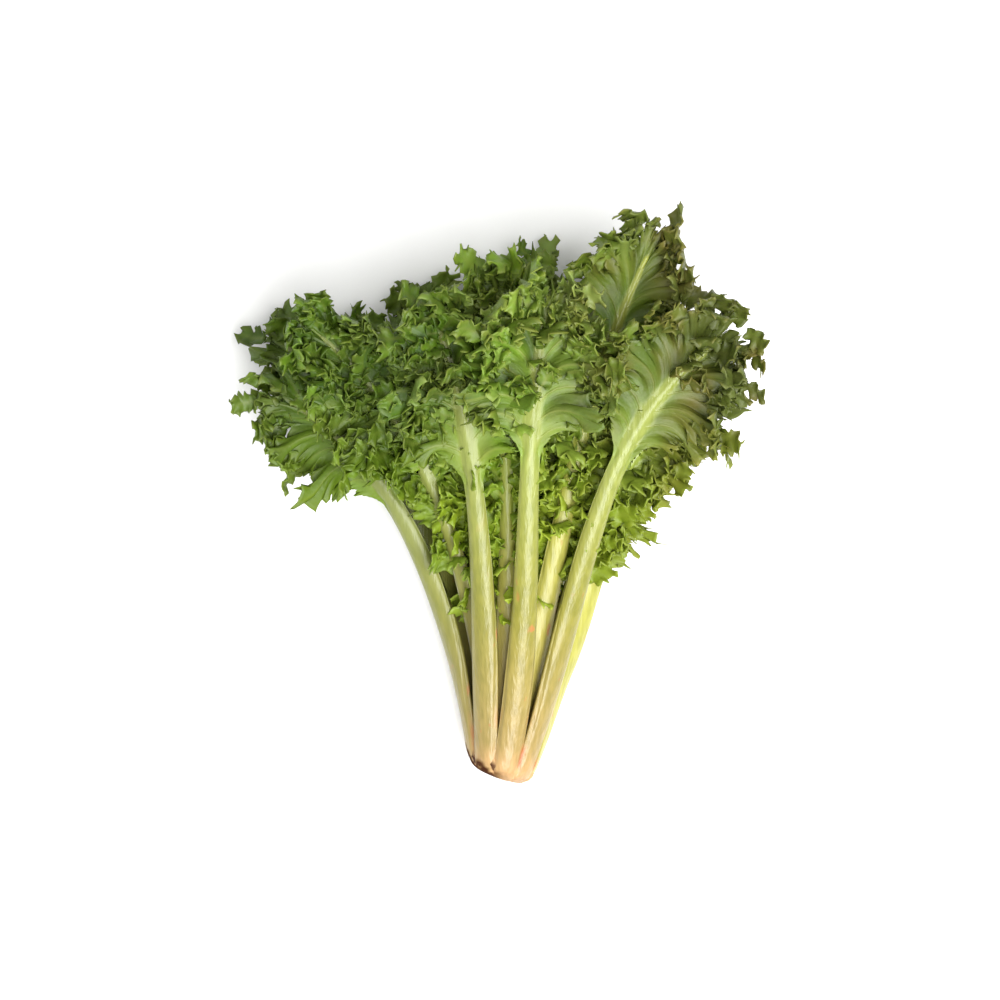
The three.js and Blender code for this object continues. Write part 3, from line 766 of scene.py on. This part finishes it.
def crest_line(leaf, side, start, share):
    """Along the blade, at a share of the way from rib to margin."""
    u = np.linspace(mix(leaf.bare, 1, start), 0.99, LINE_POINTS)
    forward, outward, sideways = leaf.stations(u)[1:]
    bay = 0.5 - 0.5 * np.cos(math.pi * leaf.turns(u, side))
    reach = leaf.full_reach(u) * (1 - BAY_DEPTH * bay)
    across = (leaf.rib_half_width(u) + share * reach)[:, None]
    line = leaf.sheet(u, side, across, leaf.rise(u, side))[:, 0]
    line[:, 2] += lift_at(leaf, side, u, np.full((len(u), 1), share))[:, 0]
    way = unit(0.9 * side * sideways + 0.5 * forward + 0.5 * outward)
    return line, way


def leaflet_lines(whorl):
    points, edges, ways = [], [], []
    for leaf in leaves:
        if not leaf.name.startswith(whorl):
            continue
        for side in (-1, 1):
            start, shares = CRESTED.get(leaf.name, (0, ()))
            lines = [crest_line(leaf, side, start, share) for share in shares]
            lines += [edge_line(leaf, side)] if leaf.name in FRILLED else []
            for line, way in lines:
                first = len(points)
                points += (line / 1000 + np.array(PLANT)).tolist()
                ways += way.tolist()
                edges += [(first + i, first + i + 1) for i in range(len(line) - 1)]
    mesh = bpy.data.meshes.new(whorl + "_leaflet_lines")
    mesh.from_pydata(points, edges, [])
    attribute = mesh.attributes.new("way", "FLOAT_VECTOR", "POINT")
    attribute.data.foreach_set("vector", np.array(ways, np.float32).reshape(-1))
    return mesh


print("leaflets grow on", len({*FRILLED, *CRESTED}), "of the leaves")

# %% [markdown]
# ## Setting the leaflets
# The nodes turn each line into evenly spaced points, set a leaflet on every point with a little
# chance in its turn, size and tone, and hand back plain geometry. One tree serves all whorls,
# since its inputs give the spacing, the sizes, the seed and the finish.

# %% Node tree for the leaflets
TONE_SEED = 11
# The least and the most that a leaflet turns about its own axes, in radians.
LEAST_TURN, MOST_TURN = (-0.6, -1.0, -0.7), (0.7, 1.0, 0.7)


def leaflet_tree():
    tree = bpy.data.node_groups.new("leaflets_along_lines", "GeometryNodeTree")
    face = tree.interface
    face.new_socket("Geometry", in_out="INPUT", socket_type="NodeSocketGeometry")
    face.new_socket("Geometry", in_out="OUTPUT", socket_type="NodeSocketGeometry")
    for name, value in (("Spacing", 0.006), ("Smallest", 0.6), ("Largest", 1.3)):
        face.new_socket(name, in_out="INPUT", socket_type="NodeSocketFloat").default_value = value
    face.new_socket("Seed", in_out="INPUT", socket_type="NodeSocketInt").default_value = 1
    face.new_socket("Finish", in_out="INPUT", socket_type="NodeSocketMaterial")
    start, end = tree.nodes.new("NodeGroupInput"), tree.nodes.new("NodeGroupOutput")
    link = tree.links.new
    curve = tree.nodes.new("GeometryNodeMeshToCurve")
    link(start.outputs["Geometry"], curve.inputs["Mesh"])
    spaced = tree.nodes.new("GeometryNodeResampleCurve")
    spaced.mode = "LENGTH"
    link(curve.outputs[0], spaced.inputs["Curve"])
    link(start.outputs["Spacing"], spaced.inputs["Length"])
    way = tree.nodes.new("GeometryNodeInputNamedAttribute")
    way.data_type = "FLOAT_VECTOR"
    way.inputs["Name"].default_value = "way"
    aim = tree.nodes.new("FunctionNodeAlignRotationToVector")
    aim.axis = "Y"
    link(way.outputs["Attribute"], aim.inputs["Vector"])
    turn = tree.nodes.new("FunctionNodeRandomValue")
    turn.data_type = "FLOAT_VECTOR"
    turn.inputs[0].default_value = LEAST_TURN
    turn.inputs[1].default_value = MOST_TURN
    link(start.outputs["Seed"], turn.inputs["Seed"])
    turned = tree.nodes.new("FunctionNodeRotateRotation")
    turned.rotation_space = "LOCAL"
    link(aim.outputs[0], turned.inputs[0])
    link(turn.outputs[0], turned.inputs[1])
    size = tree.nodes.new("FunctionNodeRandomValue")
    link(start.outputs["Smallest"], size.inputs[2])
    link(start.outputs["Largest"], size.inputs[3])
    link(start.outputs["Seed"], size.inputs["Seed"])
    kinds = tree.nodes.new("GeometryNodeCollectionInfo")
    kinds.inputs["Collection"].default_value = leaflets
    kinds.inputs["Separate Children"].default_value = True
    kinds.inputs["Reset Children"].default_value = True
    set_on = tree.nodes.new("GeometryNodeInstanceOnPoints")
    set_on.inputs["Pick Instance"].default_value = True
    link(spaced.outputs[0], set_on.inputs["Points"])
    link(kinds.outputs[0], set_on.inputs["Instance"])
    link(turned.outputs[0], set_on.inputs["Rotation"])
    link(size.outputs[1], set_on.inputs["Scale"])
    shade = tree.nodes.new("FunctionNodeRandomValue")
    shade.inputs["Seed"].default_value = TONE_SEED
    toned = tree.nodes.new("GeometryNodeStoreNamedAttribute")
    toned.data_type, toned.domain = "FLOAT", "INSTANCE"
    toned.inputs["Name"].default_value = "tone"
    link(set_on.outputs[0], toned.inputs["Geometry"])
    link(shade.outputs[1], toned.inputs["Value"])
    plain = tree.nodes.new("GeometryNodeRealizeInstances")
    link(toned.outputs[0], plain.inputs[0])
    dress = tree.nodes.new("GeometryNodeSetMaterial")
    link(start.outputs["Finish"], dress.inputs["Material"])
    link(plain.outputs[0], dress.inputs["Geometry"])
    link(dress.outputs[0], end.inputs[0])
    return tree


along_lines = leaflet_tree()
print("the tree has", len(along_lines.nodes), "nodes")

# %% [markdown]
# ## Building blocks for the finishes
# Leaves have no flat colour anywhere, so every finish is a tree of nodes that mixes colours by
# noise, by the patterns kept with each mesh, and by where on the head a point lies. These small
# functions add one kind of node each and link it.

# %% Node helpers
# Where along a side of the head a tint starts and where it is full, in metres: the olive on the
# right, the painted shade on the left and the fresh yellow-green low down.
RIGHT_SIDE = (0.012, 0.1)
LEFT_SIDE = (0.005, -0.05)
LOW_DOWN = (0.05, -0.01)


def add(tree, kind, **values):
    made = tree.nodes.new(kind)
    for key, value in values.items():
        if key.startswith("in_"):
            made.inputs[key[3:]].default_value = value
        else:
            setattr(made, key, value)
    return made


def ramp(tree, factor, stops):
    made = add(tree, "ShaderNodeValToRGB")
    elements = made.color_ramp.elements
    while len(elements) < len(stops):
        elements.new(0.5)
    for element, (place, colour) in zip(elements, stops):
        element.position = place
        element.color = (*colour, 1)
    tree.links.new(factor, made.inputs["Fac"])
    return made.outputs["Color"]


def math_node(tree, operation, a, b=0.0):
    made = add(tree, "ShaderNodeMath", operation=operation, use_clamp=True)
    for socket, value in zip(made.inputs, (a, b)):
        if isinstance(value, (int, float)):
            socket.default_value = value
        else:
            tree.links.new(value, socket)
    return made.outputs[0]


def mix_colour(tree, factor, a, b, blend="MIX"):
    made = add(tree, "ShaderNodeMix", data_type="RGBA", blend_type=blend)
    for key, value in ((0, factor), (6, a), (7, b)):
        if isinstance(value, (int, float)):
            made.inputs[key].default_value = value
        elif isinstance(value, tuple):
            made.inputs[key].default_value = (*value, 1)
        else:
            tree.links.new(value, made.inputs[key])
    return made.outputs[2]


def times(tree, a, b):
    return mix_colour(tree, 1.0, a, b, "MULTIPLY")


def grey_ramp(tree, factor, low, high):
    """Grey values that go from one (place, value) to the other."""
    return ramp(tree, factor, [(low[0], (low[1],) * 3), (high[0], (high[1],) * 3)])


def noise(tree, scale, detail=3.0, stretch=None):
    place = add(tree, "ShaderNodeTexCoord").outputs["Object"]
    if stretch:
        mapping = add(tree, "ShaderNodeMapping")
        mapping.inputs["Scale"].default_value = stretch
        tree.links.new(place, mapping.inputs["Vector"])
        place = mapping.outputs[0]
    made = add(tree, "ShaderNodeTexNoise", in_Scale=scale, in_Detail=detail)
    tree.links.new(place, made.inputs["Vector"])
    return made.outputs["Fac"]


def position(tree, axis, low, high):
    """How far a point lies from low to high along one axis of the scene, from 0 to 1."""
    place = add(tree, "ShaderNodeSeparateXYZ")
    tree.links.new(add(tree, "ShaderNodeTexCoord").outputs["Object"], place.inputs[0])
    share = add(tree, "ShaderNodeMapRange")
    share.inputs["From Min"].default_value, share.inputs["From Max"].default_value = low, high
    tree.links.new(place.outputs[axis], share.inputs["Value"])
    return share.outputs[0]


print("the olive tint grows over", round(1000 * (RIGHT_SIDE[1] - RIGHT_SIDE[0])), "mm")

# %% [markdown]
# ## Colour of the stalks
# The stalk is cream at the foot and turns lime towards the blade. It has fine streaks, a few
# scars, rust along the edges of its foot and a browned cut. The stalks on the left get painted
# shade, more olive and darker, and the one at the far right gets a painted yellow light.

# %% Stalk colour
FOOT_END, CREAM = (0.46, 0.27, 0.12), (0.3, 0.21, 0.07)
# Painted light and painted shade: a yellow for a lit stalk, a darker olive for the stalks on the left.
PAINTED_LIGHT_YELLOW, SHADED = (0.38, 0.36, 0.07), (0.15, 0.17, 0.06)
RUST, SCAR, BROWNED = (0.4, 0.1, 0.03), (0.42, 0.15, 0.05), (0.045, 0.014, 0.005)


def stalk_colour(tree, read, stalk, rib):
    along = read("along")
    colour = ramp(tree, along, [(0.0, FOOT_END), (0.05, CREAM), (0.34, stalk), (0.7, rib)])
    # Painted light: a stalk that the light falls on is mixed towards yellow.
    colour = mix_colour(tree, read("sunny"), colour, PAINTED_LIGHT_YELLOW)
    rust = times(tree, grey_ramp(tree, along, (0.02, 1), (0.13, 0)), read("edge"))
    rust = times(tree, rust, grey_ramp(tree, noise(tree, 70, 3), (0.45, 0), (0.6, 0.9)))
    colour = mix_colour(tree, rust, colour, RUST)
    scars = grey_ramp(tree, noise(tree, 1.0, 5, (170, 55, 170)), (0.66, 0), (0.7, 0.75))
    scars = times(tree, scars, grey_ramp(tree, along, (0.3, 1), (0.45, 0.1)))
    colour = mix_colour(tree, scars, colour, SCAR)
    streaks = noise(tree, 1.0, 2, (420, 7, 420))
    streaks = ramp(tree, streaks, [(0.35, (0.72, 0.74, 0.6)), (0.65, (1, 1, 1))])
    colour = mix_colour(tree, 0.75, colour, streaks, "MULTIPLY")
    # Painted shade: the stalks on the left are mixed towards a darker olive.
    shade = math_node(tree, "MULTIPLY", position(tree, "X", *LEFT_SIDE), 0.6)
    colour = mix_colour(tree, shade, colour, SHADED)
    torn = math_node(tree, "MULTIPLY", noise(tree, 260, 4), 2.2)
    return mix_colour(tree, times(tree, torn, read("browned")), colour, BROWNED)


print("cream", CREAM, "rust", RUST)

# %% [markdown]
# ## Colour of the blades
# The green deepens towards the margin. Each lobe has its own tone, and the palest ones look like
# undersides turned up. Veins and the smooth fans at the foot of a blade are pale. The blades on
# the right are olive with dry tips, the ones on the left are darker with painted shade, and the
# frills low between the stalks are a fresh yellow-green.

# %% Blade colour
OLIVE, DRY = (0.083, 0.092, 0.018), (0.21, 0.155, 0.03)
UNDERSIDE, FRESH, TIP_YELLOW = (0.27, 0.37, 0.12), (0.34, 0.44, 0.012), (0.45, 0.42, 0.06)


def blade_colour(tree, read, rib, blade, deep):
    margin, tone = read("margin"), read("tone")
    right = position(tree, "X", *RIGHT_SIDE)
    colour = mix_colour(tree, math_node(tree, "MULTIPLY", margin, 1.15), blade, deep)
    colour = mix_colour(tree, grey_ramp(tree, noise(tree, 22, 3), (0.35, 0), (0.7, 0.8)), colour, rib)
    spots = grey_ramp(tree, noise(tree, 90, 4), (0.45, 0), (0.75, 0.7))
    colour = mix_colour(tree, spots, colour, tuple(0.45 * c for c in deep))
    shades = [(0.0, (0.5, 0.56, 0.5)), (0.5, (0.8, 0.82, 0.8)), (1.0, (1, 1, 1))]
    colour = times(tree, colour, ramp(tree, tone, shades))
    colour = mix_colour(tree, grey_ramp(tree, tone, (0.7, 0), (1, 0.4)), colour, UNDERSIDE)
    fan = times(tree, read("fan"), grey_ramp(tree, right, (0, 0.6), (0.8, 0.1)))
    colour = mix_colour(tree, fan, colour, rib)
    colour = mix_colour(tree, math_node(tree, "MULTIPLY", read("vein"), 0.75), colour, rib)
    yellow = tuple(mix(a, b, 0.6) for a, b in zip(rib, TIP_YELLOW))
    colour = mix_colour(tree, math_node(tree, "MULTIPLY", read("tip"), 0.35), colour, yellow)
    colour = mix_colour(tree, math_node(tree, "MULTIPLY", right, 0.8), colour, OLIVE)
    dry = grey_ramp(tree, noise(tree, 38, 5), (0.42, 0), (0.62, 0.8))
    dry = times(tree, dry, math_node(tree, "MULTIPLY", margin, right))
    colour = mix_colour(tree, dry, colour, DRY)
    low_down = math_node(tree, "MULTIPLY", position(tree, "Y", *LOW_DOWN), 0.4)
    colour = mix_colour(tree, low_down, colour, FRESH)
    # Painted shade: the blades on the left are multiplied darker.
    left = math_node(tree, "MULTIPLY", position(tree, "X", *LEFT_SIDE), 0.6)
    return mix_colour(tree, left, colour, (0.4, 0.5, 0.36), "MULTIPLY")


print("olive", OLIVE, "fresh", FRESH)

# %% [markdown]
# ## Finish of a leaf
# The finish goes from stalk to blade where the margin pattern starts. The stalk is the glossier
# of the two, with fine ridges along it, and the blade is slightly rough. Thin tissue lets some
# light through, so a share of the blade is translucent. The inner leaves grew in the shade of
# the outer ones and are yellower.

# %% Leaf finishes
# For each whorl: the colours of the stalk, of the rib and veins, of the blade and of its margin.
COLOURS = {
    "outer": ((0.215, 0.2, 0.028), (0.235, 0.27, 0.055), (0.24, 0.43, 0.018), (0.11, 0.235, 0.01)),
    "middle": ((0.28, 0.26, 0.05), (0.25, 0.31, 0.05), (0.24, 0.43, 0.018), (0.115, 0.24, 0.011)),
    "inner": ((0.44, 0.43, 0.09), (0.46, 0.56, 0.07), (0.46, 0.6, 0.03), (0.3, 0.47, 0.018)),
    "heart": ((0.48, 0.46, 0.12), (0.48, 0.56, 0.09), (0.5, 0.61, 0.05), (0.4, 0.54, 0.025)),
}
GLOW = (0.5, 0.62, 0.08)


def leaf_finish(name, stalk, rib, blade, deep):
    material = bpy.data.materials.new(name)
    material.use_nodes = True
    tree = material.node_tree
    tree.nodes.clear()

    def read(key):
        return add(tree, "ShaderNodeAttribute", attribute_name=key).outputs["Fac"]

    spread = grey_ramp(tree, read("margin"), (0.0, 0), (0.16, 1))
    stalks = stalk_colour(tree, read, stalk, rib)
    colour = mix_colour(tree, spread, stalks, blade_colour(tree, read, rib, blade, deep))
    shader = add(tree, "ShaderNodeBsdfPrincipled")
    tree.links.new(colour, shader.inputs["Base Color"])
    shine = grey_ramp(tree, read("browned"), (0.0, 0.45), (0.6, 0.05))
    tree.links.new(shine, shader.inputs["Specular IOR Level"])
    roughness = grey_ramp(tree, spread, (0.0, 0.34), (1.0, 0.48))
    roughness = mix_colour(tree, read("browned"), roughness, (0.95, 0.95, 0.95))
    tree.links.new(roughness, shader.inputs["Roughness"])
    height = add(tree, "ShaderNodeMix", data_type="FLOAT")
    tree.links.new(spread, height.inputs[0])
    tree.links.new(noise(tree, 1.0, 2, (620, 9, 620)), height.inputs[2])
    tree.links.new(noise(tree, 420, 3), height.inputs[3])
    bump = add(tree, "ShaderNodeBump", in_Strength=0.5, in_Distance=0.0008)
    tree.links.new(height.outputs[0], bump.inputs["Height"])
    tree.links.new(bump.outputs[0], shader.inputs["Normal"])
    through = add(tree, "ShaderNodeBsdfTranslucent")
    tree.links.new(mix_colour(tree, 0.5, colour, GLOW), through.inputs["Color"])
    both = add(tree, "ShaderNodeMixShader")
    tree.links.new(math_node(tree, "MULTIPLY", spread, 0.28), both.inputs[0])
    tree.links.new(shader.outputs[0], both.inputs[1])
    tree.links.new(through.outputs[0], both.inputs[2])
    end = add(tree, "ShaderNodeOutputMaterial")
    tree.links.new(both.outputs[0], end.inputs["Surface"])
    return material


FINISHES = {whorl: leaf_finish(whorl + "_leaf", *colours) for whorl, colours in COLOURS.items()}
for name, piece in leaf_objects.items():
    piece.data.materials.append(FINISHES[name.split("_")[0]])
print("leaf finishes", list(FINISHES))

# %% [markdown]
# ## Finish of the core
# The flesh of the cut is cream with faint rusty clouds, and its rim has dried to a torn dark
# brown. Dried flesh has no shine.

# %% Core finish
def core_finish():
    material = bpy.data.materials.new("core")
    material.use_nodes = True
    tree = material.node_tree
    shader = tree.nodes["Principled BSDF"]
    cream = mix_colour(tree, noise(tree, 60, 4), (0.44, 0.26, 0.12), (0.44, 0.31, 0.14))
    clouds = ramp(tree, noise(tree, 160, 5), [(0.52, (0, 0, 0)), (0.66, (1, 1, 1))])
    flesh = mix_colour(tree, math_node(tree, "MULTIPLY", clouds, 0.35), cream, (0.5, 0.2, 0.08))
    rim = add(tree, "ShaderNodeAttribute", attribute_name="rim").outputs["Fac"]
    torn = math_node(tree, "MULTIPLY", noise(tree, 220, 5), 2.4)
    colour = mix_colour(tree, math_node(tree, "MULTIPLY", rim, torn), flesh, BROWNED)
    tree.links.new(colour, shader.inputs["Base Color"])
    shader.inputs["Roughness"].default_value = 0.8
    shader.inputs["Specular IOR Level"].default_value = 0.15
    bump = add(tree, "ShaderNodeBump", in_Strength=0.4, in_Distance=0.0006)
    tree.links.new(noise(tree, 300, 4), bump.inputs["Height"])
    tree.links.new(bump.outputs[0], shader.inputs["Normal"])
    return material


core.data.materials.append(core_finish())
print("the core's finish is", core.data.materials[0].name)

# %% [markdown]
# ## Growing the leaflets
# Each whorl gets its own piece of leaflets, in that whorl's finish. They stand closer on the
# inner leaves and the heart, which crowd between the outer stalks. A leaflet that would hang
# below the table, under the lowest leaves, is raised onto it.

# %% Leaflets of each whorl
# Spacing along the lines in metres, smallest and largest size, and the seed of the chance.
GROWTH = {
    "outer": (0.009, 0.9, 1.6, 2),
    "middle": (0.0068, 0.8, 1.6, 3),
    "inner": (0.0065, 0.9, 1.8, 5),
    "heart": (0.006, 0.6, 1.1, 7),
}
LOWEST_LEAFLET = 0.0002


def lift_off_table(mesh):
    """Each leaflet that would reach below the table is raised onto it."""
    one = len(leaflets.objects[0].data.vertices)
    corners = np.empty(3 * len(mesh.vertices), np.float32)
    mesh.vertices.foreach_get("co", corners)
    corners = corners.reshape(-1, one, 3)
    corners[..., 2] += np.maximum(0, LOWEST_LEAFLET - corners[..., 2].min(1))[:, None]
    mesh.vertices.foreach_set("co", corners.reshape(-1))
    mesh.update()


def grow_leaflets(whorl, spacing, smallest, largest, seed):
    piece = bpy.data.objects.new(whorl + "_leaflets", leaflet_lines(whorl))
    bpy.context.scene.collection.objects.link(piece)
    grow = piece.modifiers.new("leaflets", "NODES")
    grow.node_group = along_lines
    values = {"Spacing": spacing, "Smallest": smallest, "Largest": largest, "Seed": seed}
    values["Finish"] = FINISHES[whorl]
    for item in along_lines.interface.items_tree:
        if item.name in values:
            grow[item.identifier] = values[item.name]
    bpy.context.view_layer.update()
    evaluated = piece.evaluated_get(bpy.context.evaluated_depsgraph_get())
    mesh = bpy.data.meshes.new_from_object(evaluated)
    piece.modifiers.remove(grow)
    lift_off_table(mesh)
    piece.data = mesh
    return piece


leaflet_pieces = {whorl: grow_leaflets(whorl, *sizes) for whorl, sizes in GROWTH.items()}
everything = [*leaf_objects.values(), *leaflet_pieces.values(), core]
counts = [sum(len(face.vertices) - 2 for face in piece.data.polygons) for piece in everything]
print("triangles", sum(counts), "most in a piece", max(counts))

# %% [markdown]
# ## Table and light
# A plain pale table and three soft lights: a broad strong one from the right, as in the photo, a
# weaker one from the left and one from the foot of the picture that lights the stalks.

# %% Table and light
TABLE_REACH = 4
AIM = (0, 0, 0.05)
corners = [(x * TABLE_REACH, y * TABLE_REACH, 0) for x, y in ((-1, -1), (1, -1), (1, 1), (-1, 1))]
floor_mesh = bpy.data.meshes.new("table")
floor_mesh.from_pydata(corners, [], [(0, 1, 2, 3)])
floor = bpy.data.objects.new("table", floor_mesh)
bpy.context.scene.collection.objects.link(floor)
paper = bpy.data.materials.new("table")
paper.use_nodes = True
paper_tree = paper.node_tree
paper_shader = paper_tree.nodes["Principled BSDF"]
paper_shader.inputs["Roughness"].default_value = 0.8
paper_grain = mix_colour(paper_tree, noise(paper_tree, 30, 3), (0.84, 0.84, 0.83), (0.87, 0.87, 0.86))
paper_tree.links.new(paper_grain, paper_shader.inputs["Base Color"])
floor_mesh.materials.append(paper)


def softbox(name, place, size, power):
    lamp = bpy.data.lights.new(name, "AREA")
    lamp.shape, lamp.size, lamp.energy = "DISK", size, power
    made = bpy.data.objects.new(name, lamp)
    made.location = place
    made.rotation_euler = (Vector(AIM) - Vector(place)).to_track_quat("-Z", "Y").to_euler()
    bpy.context.scene.collection.objects.link(made)
    return made


lights = [
    softbox("key", (0.55, -0.3, 1.35), 1.4, 37),
    softbox("fill", (-1.2, 0.2, 1.2), 1.4, 8),
    softbox("foot", (0.25, -1.0, 1.15), 0.8, 16),
]
world = bpy.data.worlds.new("studio")
world.use_nodes = True
world.node_tree.nodes["Background"].inputs[0].default_value = (1, 1, 1, 1)
world.node_tree.nodes["Background"].inputs[1].default_value = 0.55
bpy.context.scene.world = world
bpy.context.scene.view_settings.view_transform = "Standard"
print("lights", len(lights))

# %% [markdown]
# ## Standing in for the solids
# Each finer leaf stands in for the solid of its name, which is hidden.

# %% Pieces in place of the solids
for name, piece in leaf_objects.items():
    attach(piece, "root")
    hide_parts(name)
for whorl, piece in leaflet_pieces.items():
    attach(piece, "root")
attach(core, "root")
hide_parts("core")
